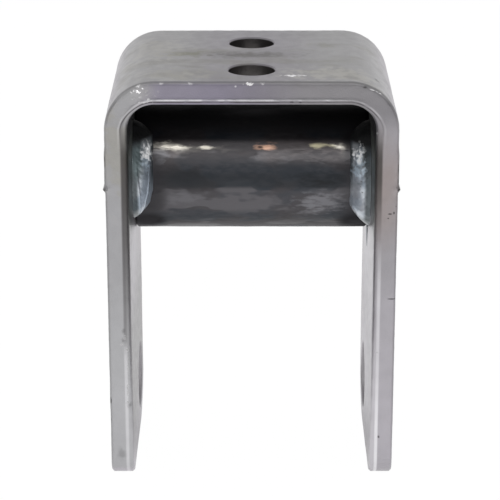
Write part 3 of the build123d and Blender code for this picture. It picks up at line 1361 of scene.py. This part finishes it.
@dataclass(frozen=True)
class WeldBead:
    """One fillet weld: a run that starts round, narrows towards its end and stops at a point."""

    sizes: BracketSizes
    side: Side
    node: str
    taper: tuple[tuple[float, float], ...]  # (angle, size) down to where the run ends
    lumps: float  # height of its lumps
    ridges: tuple[tuple[float, float, float], ...] = ()  # place at the start and end, height
    drip: bool = False
    ripple: float = 0.02  # height of its ripples
    leg: float = 6.9
    crown: float = 0.8
    start: float = 57.0  # the angle it starts at, in degrees up from the tube's front
    swell: float = 11.0  # degrees over which it swells to full size
    unevenness: float = 0.05  # of its width, as a share
    ridge_width: float = 0.045
    root: float = 0.3  # how deep it is sunk into the leg and the tube
    slot: str = "weld_metal"
    along: int = 170
    across: int = 48
    sharp_angle: float = 60.0
    ripple_pitch: float = 4.2  # degrees of the tube's round between ripples
    ripple_bow: float = 8.0  # degrees by which a ripple's middle is below its ends
    drip_top: float = 4.0  # how far above the tube's lowest line the drip starts
    drip_y: float = 3.2  # where it starts, front to back
    drip_lean: float = 1.2  # how far back it runs on its way down
    drip_length: float = 9.6
    drip_half_width: float = 2.2
    drip_height: float = 0.22

    def size_at(self, angle: float) -> float:
        """The weld's size at one place along it.

        Args:
            angle: degrees above the tube's front, about its axis.

        Returns:
            A share of its full size.
        """
        begin = math.sqrt(max(0.0, min(1.0, (self.start - angle) / self.swell)))
        size = 1.0
        for (upper, large), (lower, small) in zip(self.taper, self.taper[1:]):
            if angle <= upper:
                size = large + (small - large) * min(1.0, (upper - angle) / (upper - lower))
        return (0.25 + 0.75 * begin) * size

    def surface(self, angle: float, t: float) -> Vector:
        """A point on the weld's face.

        Args:
            angle: degrees above the tube's front, about its axis.
            t: 0 at the toe on the tube, 1 at the toe on the leg.

        Returns:
            The point, in millimetres.
        """
        size = self.size_at(angle)
        wander = noise.noise(Vector((angle / 11, self.side.value * 3.0, 0.4)))
        leg = self.leg * size * (1 + self.unevenness * wander)
        belly = math.sin(math.pi * t)
        inside = smooth(0, 0.2, t) * smooth(1, 0.8, t)
        bowed = angle - self.ripple_bow * (1 - belly)
        beat = math.sin(2 * math.pi * bowed / self.ripple_pitch)
        rough = noise.noise(Vector((angle / 7.0, t * 2.6, self.side.value * 9.0)))
        rise = size * (self.crown * belly + inside * (self.ripple * beat + self.lumps * rough))
        share = (self.start - angle) / (self.start - self.taper[-1][0])
        for first, last, height in self.ridges:
            place = first + (last - first) * smooth(0.35, 0.95, share)
            profile = math.exp(-(((t - place) / self.ridge_width) ** 2))
            rise += height * size * profile * smooth(0.3, 0.65, share)
        along_tube = leg * (1 - t) + rise / math.sqrt(2)
        above_tube = leg * t + rise / math.sqrt(2)
        return self.place(angle, max(along_tube, 0.0), max(above_tube, 0.0))

    def place(self, angle: float, along_tube: float, above_tube: float) -> Vector:
        """Finds a point from its angle and distances.

        Args:
            angle: degrees above the tube's front, about its axis.
            along_tube: distance from the leg.
            above_tube: distance from the tube.

        Returns:
            The point, in millimetres.
        """
        a = math.radians(angle)
        radius = self.sizes.tube_radius + above_tube
        x = self.side.value * (self.sizes.inner_face - along_tube)
        return Vector((x, self.sizes.tube_y - radius * math.cos(a), self.sizes.tube_z + radius * math.sin(a)))

    def build(self, steel: bpy.types.Material) -> bpy.types.Object:
        """Builds and dresses the bead.

        Args:
            steel: its finish.

        Returns:
            The piece.
        """
        vertices: list[Vector] = []
        count = self.across + 4
        end = self.taper[-1][0]
        for i in range(self.along):
            angle = self.start + (end - self.start) * i / (self.along - 1)
            for k in range(self.across):
                vertices.append(self.surface(angle, k / (self.across - 1)))
            leg, below = self.leg * self.size_at(angle), -self.root
            for along_tube, above_tube in ((below, leg), (below, below), (leg / 2, below), (leg, below)):
                vertices.append(self.place(angle, along_tube, above_tube))
        faces = grid_faces(self.along, count)
        last = (self.along - 1) * count
        faces += [tuple(range(count)), tuple(range(last, last + count))]
        if self.drip:
            self.add_drip(vertices, faces)
        bead = mesh_object(f"{self.side.name.lower()}_weld_run", vertices, faces, self.sharp_angle)
        return dress(bead, steel, self.node)

    def add_drip(self, vertices: list[Vector], faces: list[tuple[int, ...]]) -> None:
        """Adds the small tapered run of metal on the leg below the weld's end.

        Args:
            vertices: the bead's points, which grow by the drip's.
            faces: the bead's faces, likewise.
        """
        s = self.sizes
        first = len(vertices)
        rows, columns = 18, 20
        top = s.tube_z - s.tube_radius + self.drip_top
        for i in range(rows):
            t = i / (rows - 1)
            half = self.drip_half_width * (1 - t) ** 0.9 + 0.12
            proud = self.drip_height * (1 - t) ** 0.6 * smooth(-0.05, 0.2, t) + 0.04
            for k in range(columns):
                a = 2 * math.pi * k / columns
                x = s.inner_face + 0.08 - proud * (1 + math.cos(a))
                y = self.drip_y + self.drip_lean * t + half * math.sin(a)
                vertices.append(Vector((self.side.value * x, y, top - self.drip_length * t)))
        faces += grid_faces(rows, columns, first)
        last = first + (rows - 1) * columns
        faces += [tuple(range(first, first + columns)), tuple(range(last, last + columns))]


def dress(piece: bpy.types.Object, material: bpy.types.Material, node: str) -> bpy.types.Object:
    """Gives a piece its finish, ties it to the frame, and hides the node it stands for.

    Args:
        piece: the piece.
        material: its finish.
        node: the solid that it stands for.

    Returns:
        The piece.
    """
    piece.data.materials.clear()
    piece.data.materials.append(material)
    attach(piece, ROOT_BODY)
    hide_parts(node)
    return piece


# --- studio -------------------------------------------------------------------------------
@dataclass(frozen=True)
class Studio:
    """A white table in a soft, even room, with a small key light from the front.

    Light levels are shares of full white.
    """

    floor_size: float = 6000.0
    white: str = "ffffff"
    table_grey: str = "303030"  # the table's diffuse tone, on top of its glow
    table_seen: float = 0.99  # how bright the table itself looks
    table_side: float = 0.68  # how much light it gives back at the sides,
    table_front: float = 0.42  # and how much more in front
    table_back: float = 0.24  # and behind
    room: float = 0.43
    room_back: float = 0.32  # how much more light comes from low down behind,
    room_front: float = -0.17  # and how much less, so below 0, from in front
    key_elevation: float = 34.0  # degrees
    key_distance: float = 1200.0
    key_aim: float = 110.0  # height it points at
    key_size: tuple[float, float] = (520.0, 50.0)
    key_power: float = 3.6  # watts

    def total(self, tree: bpy.types.NodeTree, parts: Sequence[Socket | float]) -> Socket:
        """Adds up light levels."""
        add = partial(add_node, tree, "ShaderNodeMath", {"operation": "ADD"})
        return reduce(lambda first, second: add({0: first, 1: second}).outputs[0], parts)

    def floor(self) -> bpy.types.Object:
        """Lays the table: a white sheet that gives back more light in front of the bracket.

        Returns:
            The table.
        """
        half = self.floor_size / 2
        corners = [(-half, -half, 0.0), (half, -half, 0.0), (half, half, 0.0), (-half, half, 0.0)]
        table = mesh_object("studio_table", corners, [(0, 1, 2, 3)])
        material = bpy.data.materials.new("white table")
        material.use_nodes = True
        tree = material.node_tree
        tree.nodes.clear()
        position = add_node(tree, "ShaderNodeTexCoord").outputs["Object"]
        way = add_node(tree, "ShaderNodeVectorMath", {"operation": "NORMALIZE"}, {0: position}).outputs[0]
        y = add_node(tree, "ShaderNodeSeparateXYZ", None, {0: way}).outputs[1]
        front = ease(tree, y, (-1.0, -0.1), (self.table_front, 0.0))
        back = ease(tree, y, (0.1, 1.0), (0.0, self.table_back))
        level = self.total(tree, (front, back, self.table_side))
        seen = add_node(tree, "ShaderNodeLightPath").outputs["Is Camera Ray"]
        levels = {0: seen, 2: level, 3: self.table_seen}
        strength = add_node(tree, "ShaderNodeMix", {"data_type": "FLOAT"}, levels).outputs[0]
        glow = add_node(tree, "ShaderNodeEmission", None, {"Color": linear(self.white), "Strength": strength})
        matt = add_node(tree, "ShaderNodeBsdfDiffuse", None, {"Color": linear(self.table_grey)})
        both = add_node(tree, "ShaderNodeAddShader", None, {0: glow.outputs[0], 1: matt.outputs[0]})
        add_node(tree, "ShaderNodeOutputMaterial", None, {"Surface": both.outputs[0]})
        table.data.materials.append(material)
        return table

    def key_light(self) -> bpy.types.Object:
        """Hangs the key light in front, above the camera's line.

        Returns:
            The light.
        """
        light = bpy.data.lights.new("key_light", "AREA")
        light.shape = "RECTANGLE"
        light.size, light.size_y = self.key_size[0] * MM, self.key_size[1] * MM
        light.energy = self.key_power
        lamp = bpy.data.objects.new("key_light", light)
        bpy.context.scene.collection.objects.link(lamp)
        a = math.radians(self.key_elevation)
        reach = self.key_distance * MM
        lamp.location = (0.0, -reach * math.cos(a), self.key_aim * MM + reach * math.sin(a))
        lamp.rotation_euler = Euler((math.radians(90) - a, 0.0, 0.0))
        return lamp

    def surroundings(self) -> None:
        """Sets the room: white, giving most light from behind and least from the camera's side."""
        world = bpy.data.worlds.new("studio")
        world.use_nodes = True
        tree = world.node_tree
        tree.nodes.clear()
        way = add_node(tree, "ShaderNodeTexCoord").outputs["Generated"]
        split = add_node(tree, "ShaderNodeSeparateXYZ", None, {0: way})
        behind = ease(tree, split.outputs[1], (0.3, 0.85), (0.0, 1.0))
        low = ease(tree, split.outputs[2], (0.0, 0.5), (self.room_back, 0.05))
        back = add_node(tree, "ShaderNodeMath", {"operation": "MULTIPLY"}, {0: behind, 1: low}).outputs[0]
        front = ease(tree, split.outputs[1], (-0.85, -0.3), (self.room_front, 0.0))
        level = self.total(tree, (back, front, self.room))
        seen = add_node(tree, "ShaderNodeLightPath").outputs["Is Camera Ray"]
        levels = {0: seen, 2: level, 3: 1.0}
        strength = add_node(tree, "ShaderNodeMix", {"data_type": "FLOAT"}, levels).outputs[0]
        white = {"Color": linear(self.white), "Strength": strength}
        light = add_node(tree, "ShaderNodeBackground", None, white)
        add_node(tree, "ShaderNodeOutputWorld", None, {"Surface": light.outputs[0]})
        bpy.context.scene.world = world

    def build(self) -> None:
        """Sets up the floor, the lights and plain colour handling."""
        self.floor()
        self.key_light()
        self.surroundings()
        bpy.context.scene.view_settings.view_transform = "Standard"


@dataclass(frozen=True)
class ViewCamera:
    """The camera: from the front, a little above, with a long lens."""

    distance: float = 786.2
    elevation: float = 19.45  # degrees
    target_z: float = 73.25
    lens: float = 156.0
    sensor: float = 36.0
    shift: tuple[float, float] = (-0.0033, 0.0029)
    nearest: float = 10.0  # nothing closer is drawn

    def build(self) -> bpy.types.Object:
        """Places the camera and makes it the scene's.

        Returns:
            The camera.
        """
        data = bpy.data.cameras.new("camera")
        data.lens = self.lens
        data.sensor_width = self.sensor
        data.shift_x, data.shift_y = self.shift
        data.clip_start = self.nearest * MM
        camera = bpy.data.objects.new("camera", data)
        bpy.context.scene.collection.objects.link(camera)
        a = math.radians(self.elevation)
        reach = self.distance * MM
        camera.location = (0.0, -reach * math.cos(a), self.target_z * MM + reach * math.sin(a))
        camera.rotation_euler = Euler((math.radians(90) - a, 0.0, 0.0))
        bpy.context.scene.camera = camera
        return camera


def main() -> None:
    """Loads the frame, then builds and dresses each piece in order."""
    logging.basicConfig(level=logging.INFO, format="%(message)s")
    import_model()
    sizes = BracketSizes()
    bar_steel = HotRolledSteel(sizes).build()
    tube_steel = MillScaleSteel(sizes).build()
    weld_steel = WeldMetal(sizes).build()

    left_bead = WeldBead(
        sizes,
        Side.LEFT,
        "left_weld_bead",
        taper=((-6.0, 1.0), (-18.0, 0.86), (-26.5, 0.57), (-31.5, 0.38), (-38.5, 0.05)),
        lumps=0.1,
        ridges=((0.2, 0.42, 0.24), (0.86, 0.6, 0.2)),
    )
    right_bead = WeldBead(
        sizes,
        Side.RIGHT,
        "right_weld_bead",
        taper=((-22.0, 1.0), (-28.0, 0.9), (-33.5, 0.72), (-42.5, 0.38), (-54.0, 0.06)),
        lumps=0.26,
        drip=True,
    )
    for part, steel in (
        (BentBar(sizes), bar_steel),
        (CrossTube(sizes), tube_steel),
        (left_bead, weld_steel),
        (right_bead, weld_steel),
    ):
        piece = part.build(steel)
        log.info("%s: %d faces, stands for %s", piece.name, len(piece.data.polygons), part.node)

    Studio().build()
    ViewCamera().build()


if __name__ == "__main__":
    main()
